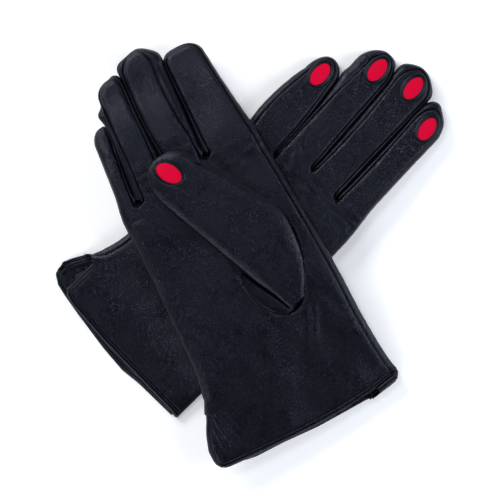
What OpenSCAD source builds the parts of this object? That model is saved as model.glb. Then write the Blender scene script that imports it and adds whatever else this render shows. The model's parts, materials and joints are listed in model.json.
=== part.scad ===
// A pair of lined leather gloves laid across each other. The left glove lies back up on the surface, with
// its thumb folded under the palm, and the right glove lies palm up on top, with its thumb across the palm.
// Each glove is drawn in its own pattern frame: X towards the index finger, Y towards the fingertips, zero
// on the hem stitch line at the middle of the cuff. Millimetres.

/* [Lay] */
// Turn of the right glove, counter-clockwise from above
right_turn = 27; // [24:1:30]
// Turn of the left glove, counter-clockwise from above
left_turn = -46; // [-48:1:-44]
// Slope of the right cuff where it hangs past the left glove, degrees
cuff_slope = 9; // [4:1:10]
// Droop of the right glove's fingers, degrees
right_droop = 6; // [3:1:7]
// Droop of the left glove's fingers, degrees
left_droop = 2.4; // [1.5:0.1:2.6]

/* [Leather and lining] */
// Thickness of the outer leather
leather = 1.0; // [0.8:0.1:1.1]
// Thickness of the lining
lining = 0.6; // [0.4:0.1:0.8]
// Height of the space for the hand in the lying glove
hand_space = 5.4; // [5:0.1:6]
// Height of the space in the right thumb
thumb_space = 4.4; // [4.2:0.1:5]
// Width of the turned hem inside the cuff
hem = 6; // [4:0.5:8]

/* [Nails] */
// Length of a finger's nail inset
nail_length = 14; // [12:0.5:15]
// Width of a finger's nail inset
nail_width = 9.6; // [8:0.2:10]
// Distance from a fingertip to the middle of its nail
nail_setback = 11.5; // [11:0.5:13]
// Length of a thumb's nail inset
thumb_nail_length = 15.4; // [13:0.2:16]
// Width of a thumb's nail inset
thumb_nail_width = 10.8; // [9:0.2:12]

/* [Hidden] */
RIGHT = 0;
LEFT = 1;
SIDES = ["right", "left"];
DIGITS = ["little", "ring", "middle", "index"];
HAND_PIECES = ["palm_panel", "back_panel", "side_strips", "cuff_hem", "hand_lining"];
FINGER_PIECES = ["front", "back", "fourchettes", "nail", "lining"];
THUMB_PIECES = ["thumb_outer", "thumb_inner", "thumb_gussets", "thumb_nail"];

// Each finger from its bending line: [middle of that line, width there, width near the tip, length, lean].
// The right thumb lies over the roots of the ring and middle fingers, so those two bend just past its tip.
FINGERS = [
    [[[-37, 151], 12, 10.5, 47, -6.5], [[-18.8, 170.5], 19.6, 16.5, 50, -4.6],
        [[3.6, 172.5], 23.2, 22.5, 56.5, -1.6], [[32, 155], 30, 22, 64, 1.6]],
    [[[-31.3, 147.5], 23.4, 16.5, 55.5, 3.8], [[-8.4, 147], 19.6, 20, 81, 5.4],
        [[12.4, 151.5], 20, 21, 85, 4.2], [[33.4, 150], 20.6, 19.5, 77, 3.4]]];

// Where each glove's frame stands, and its turn
PLACE = [[33.6, -90.6], [-73.8, -55.2]];
TURN = [right_turn, left_turn];
DROOP = [right_droop, left_droop];

// Heights of the pile, from the surface up
clearance = 0.4;
pile_gap = 1;
glove_t = 2 * leather + 2 * lining + hand_space;
THUMB_GAP = [thumb_space, 1.2];
THUMB_T = [2 * leather + THUMB_GAP[RIGHT], 2 * leather + THUMB_GAP[LEFT]];
left_level = THUMB_T[LEFT] + 3 * clearance;
right_level = left_level + glove_t + pile_gap;
LEVEL = [right_level, left_level];

// The path of a hand's underside: [distance along the pattern's Y, height]. The right one bends along a line
// turned by fold_turn, at the edge of the left glove, and the left one rises from the surface to its thumb.
fold_turn = 20;
right_fold = 50;
cuff_flat = 12;
left_rise_end = 50;
below_cuff = -120;
past_fingers = 200;
HAND_PATH = [
    [[below_cuff, right_level + below_cuff * tan(cuff_slope)], [0, right_level], [past_fingers, right_level]],
    [[below_cuff, 0], [cuff_flat, 0], [left_rise_end, left_level], [past_fingers, left_level]]];
FOLD_AT = [right_fold, 0];
FOLD_TURN = [fold_turn, 0];

// The hand's side edges, from the cuff to the fingers. The vent is on the little finger's side, where the
// palm panel has a rounded flap and the back panel has a notch.
SIDE_EDGE = [[-50, 28], [-46, 44], [-44.5, 62], [-43, 110], [-43, 150]];
FLAP_EDGE = concat([[-58.5, 8], [-55, 18]], SIDE_EDGE);
NOTCH_EDGE = concat([[-46.5, 10], [-46.5, 18]], SIDE_EDGE);
INDEX_EDGE = [
    [[47.2, 153], [49, 143], [53, 76], [53.6, 40], [55.5, 12], [57.5, 2]],
    [[43.5, 149], [45, 125], [47, 80], [49, 30], [49.5, 0]]];

// The lower panel's cuff edge, from the flap to the index side. The upper panel stops cuff_step short of it.
flap_corner = 7;
cuff_step = 3;
CUFF_EDGE = [
    [[-51.5, -8], [-30, -9], [4, -9.7], [32, -8], [57.5, -3.5]],
    [[-51.5, -1], [-30, -4.5], [4, -8], [30, -5.5], [49.5, -5]]];
lining_start = 9;

// The widest a nail may be, as a share of its finger's width
nail_share = 0.7;

// The strips that close the sides, and the gaps at the bending lines
wall = 0.8;
wall_inset = 0.5;
bend_gap = 1.2;
fit_gap = 0.1;
tip_steps = 12;

// The thumb: [Y, edge on the little finger's side, edge on the index finger's side] from its base to its tip
THUMB = [[59, 19.5, 25], [63, 13, 29.5], [72, 9, 34.5], [84, 5.5, 38.5], [98, 1.5, 40], [112, -4, 39.5],
    [126, -10, 31.5], [140, -16, 22.5], [152, -20.2, 14.5], [161, -20.5, 7]];
THUMB_TIP = [[-17.5, 165], [-11, 167.5], [-4, 167.5], [2, 164.5]];
THUMB_HOLE = [22.5, 84];
hole_length = 40;
hole_width = 20;
thumb_lean = -17;
THUMB_NAIL = [-7.8, 158.3];
thumb_nail_turn = 37;

function turned(p, a) = [p.x * cos(a) - p.y * sin(a), p.x * sin(a) + p.y * cos(a)];
function reversed(list) = [for (i = [len(list) - 1 : -1 : 0]) list[i]];
function arc(centre, rx, ry, from, to, steps) =
    [for (i = [0 : steps]) let (a = from + (to - from) * i / steps)
        [centre.x + rx * cos(a), centre.y + ry * sin(a)]];

// One stretch of a Catmull-Rom curve through b and c, without c
function stretch(a, b, c, d, steps) =
    [for (i = [0 : steps - 1]) let (t = i / steps)
        (2 * b + t * (c - a) + t * t * (2 * a - 5 * b + 4 * c - d) + t * t * t * (3 * b - a - 3 * c + d)) / 2];
function smooth(path, steps) = let (n = len(path))
    concat([for (i = [0 : n - 2]) each stretch(path[max(i - 1, 0)], path[i], path[i + 1],
        path[min(i + 2, n - 1)], steps)], [path[n - 1]]);

// An open path moved to its left by d
function unit(v) = v / norm(v);
function side_of(path, i) = let (n = len(path), v = unit(path[min(i + 1, n - 1)] - path[max(i - 1, 0)]))
    [-v.y, v.x];
function moved(path, d) = [for (i = [0 : len(path) - 1]) path[i] + d * side_of(path, i)];

// A finger's outline from its base, at [0, start], round its tip; inset draws it smaller
function finger_left(f, start, inset) = let (tip_r = f[2] * 0.55)
    concat([[-f[1] / 2 + inset, start], [-f[2] / 2 + inset, f[3] - tip_r]],
        arc([0, f[3] - tip_r], f[2] / 2 - inset, tip_r - inset, 180 - 90 / tip_steps, 90, tip_steps / 2));
function mirrored(path) = [for (p = reversed(path)) [-p.x, p.y]];
function finger_outline(f, start, inset) =
    concat(finger_left(f, start, inset), mirrored(finger_left(f, start, inset)));
function ellipse(length, width) = arc([0, 0], width / 2, length / 2, 0, 345, 23);

// A point across the base of a finger, in the glove's frame
function base_point(f, across) = f[0] + turned([across * f[1] / 2, 0], f[4]);
function base_line(side) = [for (f = FINGERS[side]) each [base_point(f, -1), base_point(f, 1)]];

// The hand's side edges stop a little short of the fingers
below_little = 4;
below_index = 2;
function ulnar_edge(side, flap) = let (top = base_point(FINGERS[side][0], -1).y - below_little)
    [for (p = smooth(flap ? FLAP_EDGE : NOTCH_EDGE, 3)) if (p.y < top) p];
function index_edge(side) = let (top = base_point(FINGERS[side][3], 1).y - below_index)
    [for (p = smooth(INDEX_EDGE[side], 3)) if (p.y < top) p];
function cuff_corner(flap, cuff) = let (first = flap ? FLAP_EDGE[0] : NOTCH_EDGE[0])
    reversed(arc([first.x + flap_corner, cuff + flap_corner], flap_corner, flap_corner, 180, 270, 4));
function cuff_edge(side, upper) = [for (p = smooth(CUFF_EDGE[side], 4)) p + [0, upper ? cuff_step : 0]];
function hand_outline(side, flap, upper) =
    let (cuff = cuff_edge(side, upper), corner = cuff_corner(flap, cuff[0].y))
    concat(reversed([for (p = cuff) if (p.x > corner[0].x + 1) p]), corner,
        ulnar_edge(side, flap), base_line(side), index_edge(side));

thumb_left = smooth([for (s = THUMB) [s[1], s[0]]], 2);
thumb_right = smooth([for (s = reversed(THUMB)) [s[2], s[0]]], 2);
thumb_outline = concat(thumb_left, THUMB_TIP, thumb_right);

module in_glove(side) translate([PLACE[side].x, PLACE[side].y, 0]) rotate(TURN[side]) children();

// A slab that follows a hand's path, from lo to hi above its underside
module draped(side, lo, hi)
    translate([0, FOLD_AT[side], 0]) rotate([0, 0, FOLD_TURN[side]]) rotate([90, 0, 90])
        linear_extrude(height = 400, center = true)
            polygon(concat([for (p = HAND_PATH[side]) [p.x, p.y + lo]],
                [for (p = reversed(HAND_PATH[side])) [p.x, p.y + hi]]));

// A flat outline cut out of that slab
module draped_piece(side, lo, hi, outline)
    in_glove(side) intersection() {
        draped(side, lo, hi);
        translate([0, 0, -20]) linear_extrude(height = 80) polygon(outline);
    }

module thumb_hole(side, grow = 0)
    in_glove(side) translate([THUMB_HOLE.x, THUMB_HOLE.y, -1]) rotate(-thumb_lean / 2)
        linear_extrude(height = 60) polygon(ellipse(hole_length + grow, hole_width + grow));

// The palm side is on top of the right glove and underneath on the left one
function palm_lo(side) = side == RIGHT ? glove_t - leather : 0;
function back_lo(side) = side == RIGHT ? 0 : glove_t - leather;

module palm_panel(side) color([0.09, 0.09, 0.11]) difference() {
    draped_piece(side, palm_lo(side), palm_lo(side) + leather, hand_outline(side, true, side == RIGHT));
    thumb_hole(side);
}

module back_panel(side) color([0.1, 0.1, 0.12])
    draped_piece(side, back_lo(side), back_lo(side) + leather, hand_outline(side, false, side == LEFT));

// One strip along each side, between the panels. The one by the vent stops where the notch starts. Where one
// finger's bending line is far past its neighbour's, a short strip closes the root of that finger.
module side_strips(side) color([0.07, 0.07, 0.09]) {
    vent_top = 28;
    longest_open_step = 8;
    ulnar = [for (p = ulnar_edge(side, false)) if (p.y > vent_top) p];
    roots = [for (k = [0 : 2])
        let (a = base_point(FINGERS[side][k], 1), b = base_point(FINGERS[side][k + 1], -1))
        if (norm(b - a) > longest_open_step) [a, b]];
    for (path = concat([ulnar, index_edge(side)], roots))
        draped_piece(side, leather, glove_t - leather,
            concat(moved(path, -wall_inset), reversed(moved(path, -wall_inset - wall))));
}

// The leather turned in along the cuff, one band on each panel
module cuff_hem(side) color([0.08, 0.08, 0.1]) {
    end_margin = 6;
    first = NOTCH_EDGE[0].x + end_margin / 2;
    last = INDEX_EDGE[side][len(INDEX_EDGE[side]) - 1].x - end_margin;
    for (upper = [false, true]) {
        path = [for (p = cuff_edge(side, upper)) if (p.x > first && p.x < last) p + [0, wall_inset]];
        lo = upper ? glove_t - 2 * leather : leather;
        draped_piece(side, lo, lo + leather, concat(path, reversed([for (p = path) p + [0, hem]])));
    }
}

// The knitted lining of the hand: a flat sleeve, open at the cuff and at the fingers. Its ends step inwards
// at the roots of the fingers, to clear the strips there.
SLEEVE_SHIFT = [1, 1, 1, 0, 0, -1, -1, -1];
function sleeve(side, inset, start, past) = let (far = min([for (p = base_line(side)) p.y]) - 5,
        ulnar = [for (p = ulnar_edge(side, false)) if (p.y > lining_start + 1 && p.y < far) p],
        index = [for (p = index_edge(side)) if (p.y > lining_start + 1 && p.y < far) p])
    concat([[index[len(index) - 1].x - inset, start], [ulnar[0].x + inset, start]], moved(ulnar, -inset),
        [for (i = [0 : 7]) base_line(side)[i] + [SLEEVE_SHIFT[i] * inset, past]], moved(index, -inset));
module hand_lining(side) color([0.2, 0.2, 0.22]) difference() {
    inset = wall_inset + wall + fit_gap;
    draped_piece(side, leather, glove_t - leather, sleeve(side, inset, lining_start, -1.5));
    draped_piece(side, leather + lining, glove_t - leather - lining,
        sleeve(side, inset + lining, lining_start - 5, 3));
    intersection() {
        thumb_hole(side, 1);
        draped_piece(side, side == RIGHT ? glove_t / 2 : 0, side == RIGHT ? glove_t : glove_t / 2,
            sleeve(side, 0, lining_start, 0));
    }
}

// A finger's frame: its hinge is the X axis, on the top surface at the end of the hand
module in_finger(side, k) let (f = FINGERS[side][k])
    in_glove(side) translate([f[0].x, f[0].y, LEVEL[side] + glove_t]) rotate([0, 0, f[4]])
        rotate([-DROOP[side], 0, 0]) translate([0, 0, -glove_t]) children();

module slab(lo, hi) translate([0, 0, lo]) linear_extrude(height = hi - lo) children();

module nail_shape(length, width) polygon(ellipse(length, width));

module at_nail(f) translate([0, f[3] - nail_setback]) children();

module finger_front(side, k) color([0.09, 0.09, 0.11]) in_finger(side, k)
    slab(palm_lo(side), palm_lo(side) + leather) polygon(finger_outline(FINGERS[side][k], bend_gap, 0));

module finger_back(side, k) color([0.1, 0.1, 0.12]) let (f = FINGERS[side][k]) in_finger(side, k)
    slab(back_lo(side), back_lo(side) + leather) difference() {
        polygon(finger_outline(f, bend_gap, 0));
        at_nail(f) nail_shape(nail_length, min(nail_width, f[2] * nail_share));
    }

// The two side strips of a finger, which meet at its tip
module finger_fourchettes(side, k) color([0.06, 0.06, 0.08]) in_finger(side, k) for (flip = [0, 1])
    mirror([flip, 0, 0]) slab(leather, glove_t - leather) let (f = FINGERS[side][k])
        polygon(concat(finger_left(f, bend_gap, wall_inset), [[-fit_gap, f[3] - wall_inset - wall]],
            reversed(finger_left(f, bend_gap, wall_inset + wall))));

// The red oval sewn in behind the opening in the leather
module finger_nail(side, k) color([0.9, 0.02, 0.12])
    let (f = FINGERS[side][k], w = min(nail_width, f[2] * nail_share))
    in_finger(side, k) slab(back_lo(side) + fit_gap, back_lo(side) + leather - fit_gap)
        at_nail(f) nail_shape(nail_length - 2 * fit_gap, w - 2 * fit_gap);

module finger_lining(side, k) color([0.2, 0.2, 0.22])
    let (f = FINGERS[side][k], inset = wall_inset + wall + fit_gap)
    in_finger(side, k) difference() {
        slab(leather, glove_t - leather) polygon(finger_outline(f, bend_gap, inset));
        slab(leather + lining, glove_t - leather - lining)
            polygon(finger_outline(f, bend_gap - 1, inset + lining));
    }

// The right thumb lies on its palm, and the left one under its own
function thumb_base(side) = side == RIGHT ? right_level + glove_t + clearance : 0;
function outer_lo(side) = side == RIGHT ? THUMB_T[side] - leather : 0;
function inner_lo(side) = side == RIGHT ? 0 : THUMB_T[side] - leather;
module in_thumb(side) in_glove(side) translate([0, 0, thumb_base(side)]) children();

module at_thumb_nail() translate(THUMB_NAIL) rotate(thumb_nail_turn) children();

module thumb_outer(side) color([0.09, 0.09, 0.11]) in_thumb(side)
    slab(outer_lo(side), outer_lo(side) + leather) difference() {
        polygon(thumb_outline);
        at_thumb_nail() nail_shape(thumb_nail_length, thumb_nail_width);
    }

module thumb_inner(side) color([0.09, 0.09, 0.11]) difference() {
    in_thumb(side) slab(inner_lo(side), inner_lo(side) + leather) polygon(thumb_outline);
    thumb_hole(side);
}

module thumb_gussets(side) color([0.07, 0.07, 0.09]) in_thumb(side)
    slab(leather, THUMB_T[side] - leather) for (edge = [concat(thumb_left, [THUMB_TIP[0], THUMB_TIP[1]]),
        concat([THUMB_TIP[2], THUMB_TIP[3]], thumb_right)])
            polygon(concat(moved(edge, -wall_inset), reversed(moved(edge, -wall_inset - wall))));

module thumb_nail(side) color([0.9, 0.02, 0.12]) in_thumb(side)
    slab(outer_lo(side) + fit_gap, outer_lo(side) + leather - fit_gap)
        at_thumb_nail() nail_shape(thumb_nail_length - 2 * fit_gap, thumb_nail_width - 2 * fit_gap);

module hand_piece(side, piece) {
    if (piece == "palm_panel") palm_panel(side);
    if (piece == "back_panel") back_panel(side);
    if (piece == "side_strips") side_strips(side);
    if (piece == "cuff_hem") cuff_hem(side);
    if (piece == "hand_lining") hand_lining(side);
}

module finger_piece(side, k, piece) {
    if (piece == "front") finger_front(side, k);
    if (piece == "back") finger_back(side, k);
    if (piece == "fourchettes") finger_fourchettes(side, k);
    if (piece == "nail") finger_nail(side, k);
    if (piece == "lining") finger_lining(side, k);
}

module thumb_piece(side, piece) {
    if (piece == "thumb_outer") thumb_outer(side);
    if (piece == "thumb_inner") thumb_inner(side);
    if (piece == "thumb_gussets") thumb_gussets(side);
    if (piece == "thumb_nail") thumb_nail(side);
}

for (side = [RIGHT, LEFT]) {
    for (piece = HAND_PIECES)
        hand_piece(side, piece);
    for (k = [0 : 3], piece = FINGER_PIECES)
        finger_piece(side, k, piece);
    for (piece = THUMB_PIECES)
        thumb_piece(side, piece);
}
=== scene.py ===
"""The look of a pair of lined leather gloves, laid crosswise on a pale floor.

Each glove is built in its own pattern frame, in millimetres: u runs towards the index finger, v towards the
fingertips. A glove is two sheets of leather, one on top and one underneath, joined by side strips along one
seam that runs round every finger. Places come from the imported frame: the pattern frame from the cuff mounts,
the fingers from their joints, and the outlines of the hand and the thumb from their nodes.
"""
import json
import math

import bpy
import numpy as np
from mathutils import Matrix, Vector, noise


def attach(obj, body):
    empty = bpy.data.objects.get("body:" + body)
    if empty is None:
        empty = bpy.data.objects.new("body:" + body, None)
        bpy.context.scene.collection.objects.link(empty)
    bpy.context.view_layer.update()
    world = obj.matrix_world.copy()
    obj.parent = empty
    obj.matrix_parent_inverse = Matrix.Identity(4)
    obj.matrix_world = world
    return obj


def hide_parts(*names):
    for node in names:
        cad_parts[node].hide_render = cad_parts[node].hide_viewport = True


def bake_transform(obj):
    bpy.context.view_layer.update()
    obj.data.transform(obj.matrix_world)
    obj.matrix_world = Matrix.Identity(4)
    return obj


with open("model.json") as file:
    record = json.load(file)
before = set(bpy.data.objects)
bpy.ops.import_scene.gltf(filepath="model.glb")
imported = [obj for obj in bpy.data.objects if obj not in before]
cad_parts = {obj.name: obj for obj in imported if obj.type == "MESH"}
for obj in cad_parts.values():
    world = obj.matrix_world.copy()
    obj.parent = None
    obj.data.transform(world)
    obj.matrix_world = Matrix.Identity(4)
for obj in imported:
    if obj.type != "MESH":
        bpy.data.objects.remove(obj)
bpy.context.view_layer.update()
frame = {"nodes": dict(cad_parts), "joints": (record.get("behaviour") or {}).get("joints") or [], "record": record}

MM = 0.001
DIGITS = ["little", "ring", "middle", "index"]
JOINTS = {joint["name"]: joint for joint in frame["joints"]}
MOUNTS = {mount["name"]: mount for mount in frame["record"]["mounts"]}

# A finger's upper seam in its own frame, in millimetres. For its left and right sides: the seam's x at the
# hinge, halfway and where the tip starts, then the side strip's width at the same places. For its tip: the
# finger's end, the tip's reach, where between the seams its peak is, its squareness and its strip's width.
FINGER_SHAPES = {
    "right_little": ((-2, -2.5, -3), (2, 2, 2), (4, 4, 4.5), (1.5, 1.5, 1), (48, 9, 0.75, 2.2, 1)),
    "right_ring": ((-6, -7, -7.5), (4, 2.5, 1), (8, 7, 6.5), (2, 2, 1.5), (50.5, 9, 0.75, 2.2, 1)),
    "right_middle": ((-9, -11, -10), (1.5, 1, 1), (9, 6.5, 7), (2, 5, 6), (56.5, 11, 0.7, 2, 1)),
    "right_index": ((-13.5, -12.5, -11.5), (2.5, 2, 1.5), (13, 11, 9.5), (3.5, 2.5, 2),
                    (65, 10, 0.4, 2.6, 1)),
    "left_little": ((-9, -9, -6.5), (3.5, 3.5, 2.5), (10.5, 10, 8), (1, 2, 2.5), (57, 13, 0.45, 2, 2)),
    "left_ring": ((-10, -8.5, -5.5), (1, 2.5, 6.5), (9, 9, 9.5), (1.5, 2, 2), (82, 13, 0.4, 2, 1.5)),
    "left_middle": ((-9.5, -8, -9.5), (1.5, 2.5, 3.5), (8, 9, 10.5), (1.5, 2, 1), (86, 13, 0.4, 2, 2)),
    "left_index": ((-9, -8, -8.5), (1.5, 2, 2.5), (6.5, 6.5, 7), (2, 2, 2), (78, 13, 0.35, 2, 2)),
}

# A nail's middle: across the finger, back from its end, and its turn from the finger's line in degrees
NAIL_PLACES = {"right": [(0, 10, 0), (0, 12, 0), (0, 12, 0), (0, 13, 0)],
               "left": [(0, 12, 2), (1.5, 11.5, 1), (1, 12.5, 3), (0.5, 13.5, 8)]}
NAIL_SIZE = (15, 9)
THUMB_NAIL_PLACE = (-7, 157.5)
THUMB_NAIL_TURN = 33
THUMB_NAIL_SIZE = (16, 10)
NAIL_DOME = (0, 0.15, 0.3, 0.5, 0.7, 0.85, 0.94, 0.99, 1)

# A nail's welt, with an engraved ring: distance out from the oval and height above the leather
WELT_SECTION = [(-0.25, -0.4), (-0.25, 0.1), (0, 0.45), (0.25, 0.5), (0.5, 0.3), (0.72, 0.32), (1, 0.52),
                (1.35, 0.5), (1.75, 0.28), (2.1, -0.05), (2.1, -0.4)]

# The thumb's frame leans by THUMB_LEAN degrees. In that frame, LEAF_X at LEAF_Y is the thumb's left edge near
# the palm and HOLE is the seam of its opening there. CUFF_FOLD is the soft fold below it, in the glove frame.
THUMB_JOINTS = {"right": "right_thumb_lift", "left": "left_thumb_swing"}
THUMB_LEAN = 16.5
LEAF_Y = (0, 2, 13, 25, 41, 50)
LEAF_X = (0.5, -0.5, -1.5, -4, -6, -7)
HOLE = [(-6, 52), (-10, 34), (-12, 22), (-11, 12), (-7, 4), (-2, -0.5), (4, -1), (9, 2), (17, 10), (27, 25),
        (32, 38), (34, 52)]
HOLE_POINTS = 160
HOLE_DEPTH = 2.6
QUIRK_REACH = (-2.5, 9)
QUIRK_WIDTH = 2.6
QUIRK_DEPTH = 2.4
CUFF_FOLD = [(33.5, 59), (22.5, 34)]
THUMB_COLUMNS = 46
THUMB_ROWS = 120

# Sizes in millimetres: the hand's outline, the vent and the cuff's edges, as u and v
CUFF_MOUNT_V = {"right": -6, "left": -5}
CROTCHES = {"right": [(-31, 149), (-9, 158), (15.5, 155.5)],
            "left": [(-18, 141), (2, 151), (24, 149)]}
TIP_SEAM = {"right": 0.35, "left": 0.85}
SEAMLESS_SIDE = {"right": 0, "left": 1}
CAD_THICKNESS = 8.6
THICKNESS = 8.0
CUFF_THICKNESS = 5.0
LEATHER = 0.95
THIN_LEATHER = 0.7
VENT_TOP = 28
NOTCH_U = -47.0
FLAP_LIFT = 3
FLAP_SWELL = 2.6
CUFF_LINES = {
    "left_back_panel": [(-60, 7), (-47, 5), (-44, 2), (-38, 0.5), (-28, 0), (-10, -1), (50, -1)],
    "left_palm_panel": [(-60, 10), (-58, 8), (-56, 5), (-52, 2.5), (-45, 1), (-32, -1), (-8, -4), (8, -5),
                        (20, -3.5), (50, -2.5)],
    "right_back_panel": [(-60, 2), (-47, -4), (-42, -6), (-36, -7), (-18, -7), (3, -8), (20, -7.5), (35, -7),
                         (45, -6.5), (60, -6)],
}
FOLD_PLACE = 50
FOLD_TURN = math.radians(20)
CUFF_SLOPE = math.tan(math.radians(9))
LANE_SHARES = (0, 0.24, 0.46, 0.7, 1)
PALM_LENGTH = 160

# Seams, hems and rounded edges, in millimetres, and the numbers of columns and rows
HEM = 5.8
HEM_RIDGES = (2.65, 1.05)
HEM_GROOVES = (3.4, 1.85)
SEAM_DEPTH = 0.95
SEAM_WIDTH = 0.5
SEAM_RIDGE = 0.32
OUTER_STRIP = 3.4
CROTCH_STRIP = 0.5
NEIGHBOUR_GAP = -0.4
FILLED_GAP = 9
FINGER_ROUND = 4.6
HAND_ROUND = 7.5
CROTCH_ROUND = 2.2
FREE_EDGE = 0.8
BLEND_BEFORE = 4
BLEND_AFTER = 10
COLUMNS = 46
FINGER_ROWS = 96
HAND_ROW = 0.62
STRIP_HALF = 9
LINING_START = 9


# ---------------------------------------------------------------- small tools

def smoothstep(x, low, high):
    t = np.clip((np.asarray(x, float) - low) / (high - low), 0, 1)
    return t * t * (3 - 2 * t)


def mix(a, b, t):
    return a * (1 - t) + b * t


def through(t, values):
    """A smooth curve through three values at t = 0, 0.5 and 1."""
    a, b, c = values
    t = np.clip(t, 0, 1)
    return a * (1 - t) * (1 - 2 * t) + b * 4 * t * (1 - t) + c * t * (2 * t - 1)


def soft_plus(x, radius):
    return radius * np.logaddexp(0, np.asarray(x, float) / radius)


def rounded(d, radius):
    """Height, from 0 to 1, at distance d from the silhouette of an edge rounded over radius."""
    return np.sqrt(np.clip(1 - (1 - np.clip(d / radius, 0, 1)) ** 2, 0, 1))


def valley(d, depth=SEAM_DEPTH, width=SEAM_WIDTH):
    return depth * np.exp(-np.abs(d) / width)


def ripple(points, size, seed):
    """Smooth noise from about -1 to 1 at pattern points, with features of the given size."""
    flat = points.reshape(-1, 2) / size
    values = [noise.noise(Vector((p[0], p[1], seed * 7.31))) for p in flat]
    return np.array(values).reshape(points.shape[:-1]) * 1.6


def dense_ends(count, strength):
    """Values from 0 to 1 that lie closer together at both ends."""
    t = np.linspace(0, 1, count)
    return t - strength * np.sin(2 * np.pi * t) / (2 * np.pi)


def smooth_line(points, count):
    """A Catmull-Rom curve through the points."""
    p = np.array([points[0], *points, points[-1]], float)
    t = np.linspace(0, len(points) - 1 - 1e-9, count)
    i, f = t.astype(int), (t % 1)[:, None]
    a, b, c, d = p[i], p[i + 1], p[i + 2], p[i + 3]
    square, cube = 2 * a - 5 * b + 4 * c - d, 3 * b - a - 3 * c + d
    return 0.5 * (2 * b + (c - a) * f + square * f ** 2 + cube * f ** 3)


def crossings(a, b, axis, value):
    """Where edges from a to b cross a value of one coordinate, as the other coordinate."""
    low, high = np.minimum(a[:, axis], b[:, axis]), np.maximum(a[:, axis], b[:, axis])
    hit = (low <= value) & (high > value)
    t = (value - a[hit, axis]) / (b[hit, axis] - a[hit, axis])
    return mix(a[hit, 1 - axis], b[hit, 1 - axis], t)


def nearest(points, others):
    """The distance from each point to the nearest of the others."""
    gaps = points[:, None, :] - others[None, :, :]
    return np.sqrt((gaps ** 2).sum(-1)).min(1)


# ---------------------------------------------------------------- one glove's plan and heights

class Lobe:
    """A finger's or thumb's own frame, in millimetres: x across it, y along it from its hinge."""

    def set_frame(self, glove, across, hinge):
        self.glove, self.hinge = glove, hinge
        self.base = glove.local(np.array([self.hinge[:2]]) / MM)[0]
        self.across = np.array([across @ glove.u, across @ glove.v])
        self.along = np.array([-self.across[1], self.across[0]])

    def own(self, uv):
        rel = np.asarray(uv) - self.base
        return np.stack([rel @ self.across, rel @ self.along], -1)

    def plan(self, x, y):
        return self.base + np.asarray(x)[..., None] * self.across + np.asarray(y)[..., None] * self.along

    def fields(self, x, y):
        """Distances inwards from the left and right seams, and how far round the tip, from 0 to 1."""
        y_side = np.minimum(y, self.arc_y)
        left, right = self.seam_x(0, y_side), self.seam_x(1, y_side)
        width = right - left
        s = (x - left) / width
        on_right = s > self.apex
        half = np.where(on_right, 1 - self.apex, self.apex) * width
        across = np.abs(s - self.apex) * width / half
        up = np.clip((y - self.arc_y) / self.reach, 0, None)
        r = (across ** self.square + up ** self.square) ** (1 / self.square)
        share = (up / np.maximum(r, 1e-6)) ** self.square
        inward = np.maximum((1 - r) * mix(half, self.reach, share), 0)
        near_left = np.where(on_right, x - left, inward)
        near_right = np.where(on_right, inward, right - x)
        return np.maximum(near_left, 0), np.maximum(near_right, 0), share

    def grid(self, columns, rows):
        """Own coordinates, from the hand's end to the tip: one row of points for each value of rows."""
        start = mix(self.start_y[0], self.start_y[1], columns)
        side = np.where(columns > self.apex, 1 - self.apex, self.apex)
        across = np.abs(columns - self.apex) / side
        end = self.arc_y + self.reach * np.clip(1 - across ** self.square, 0, 1) ** (1 / self.square)
        y = start[None, :] + rows[:, None] * (end - start)[None, :]
        y_side = np.minimum(y, self.arc_y)
        x = mix(self.seam_x(0, y_side), self.seam_x(1, y_side), columns[None, :])
        return x, y


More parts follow.
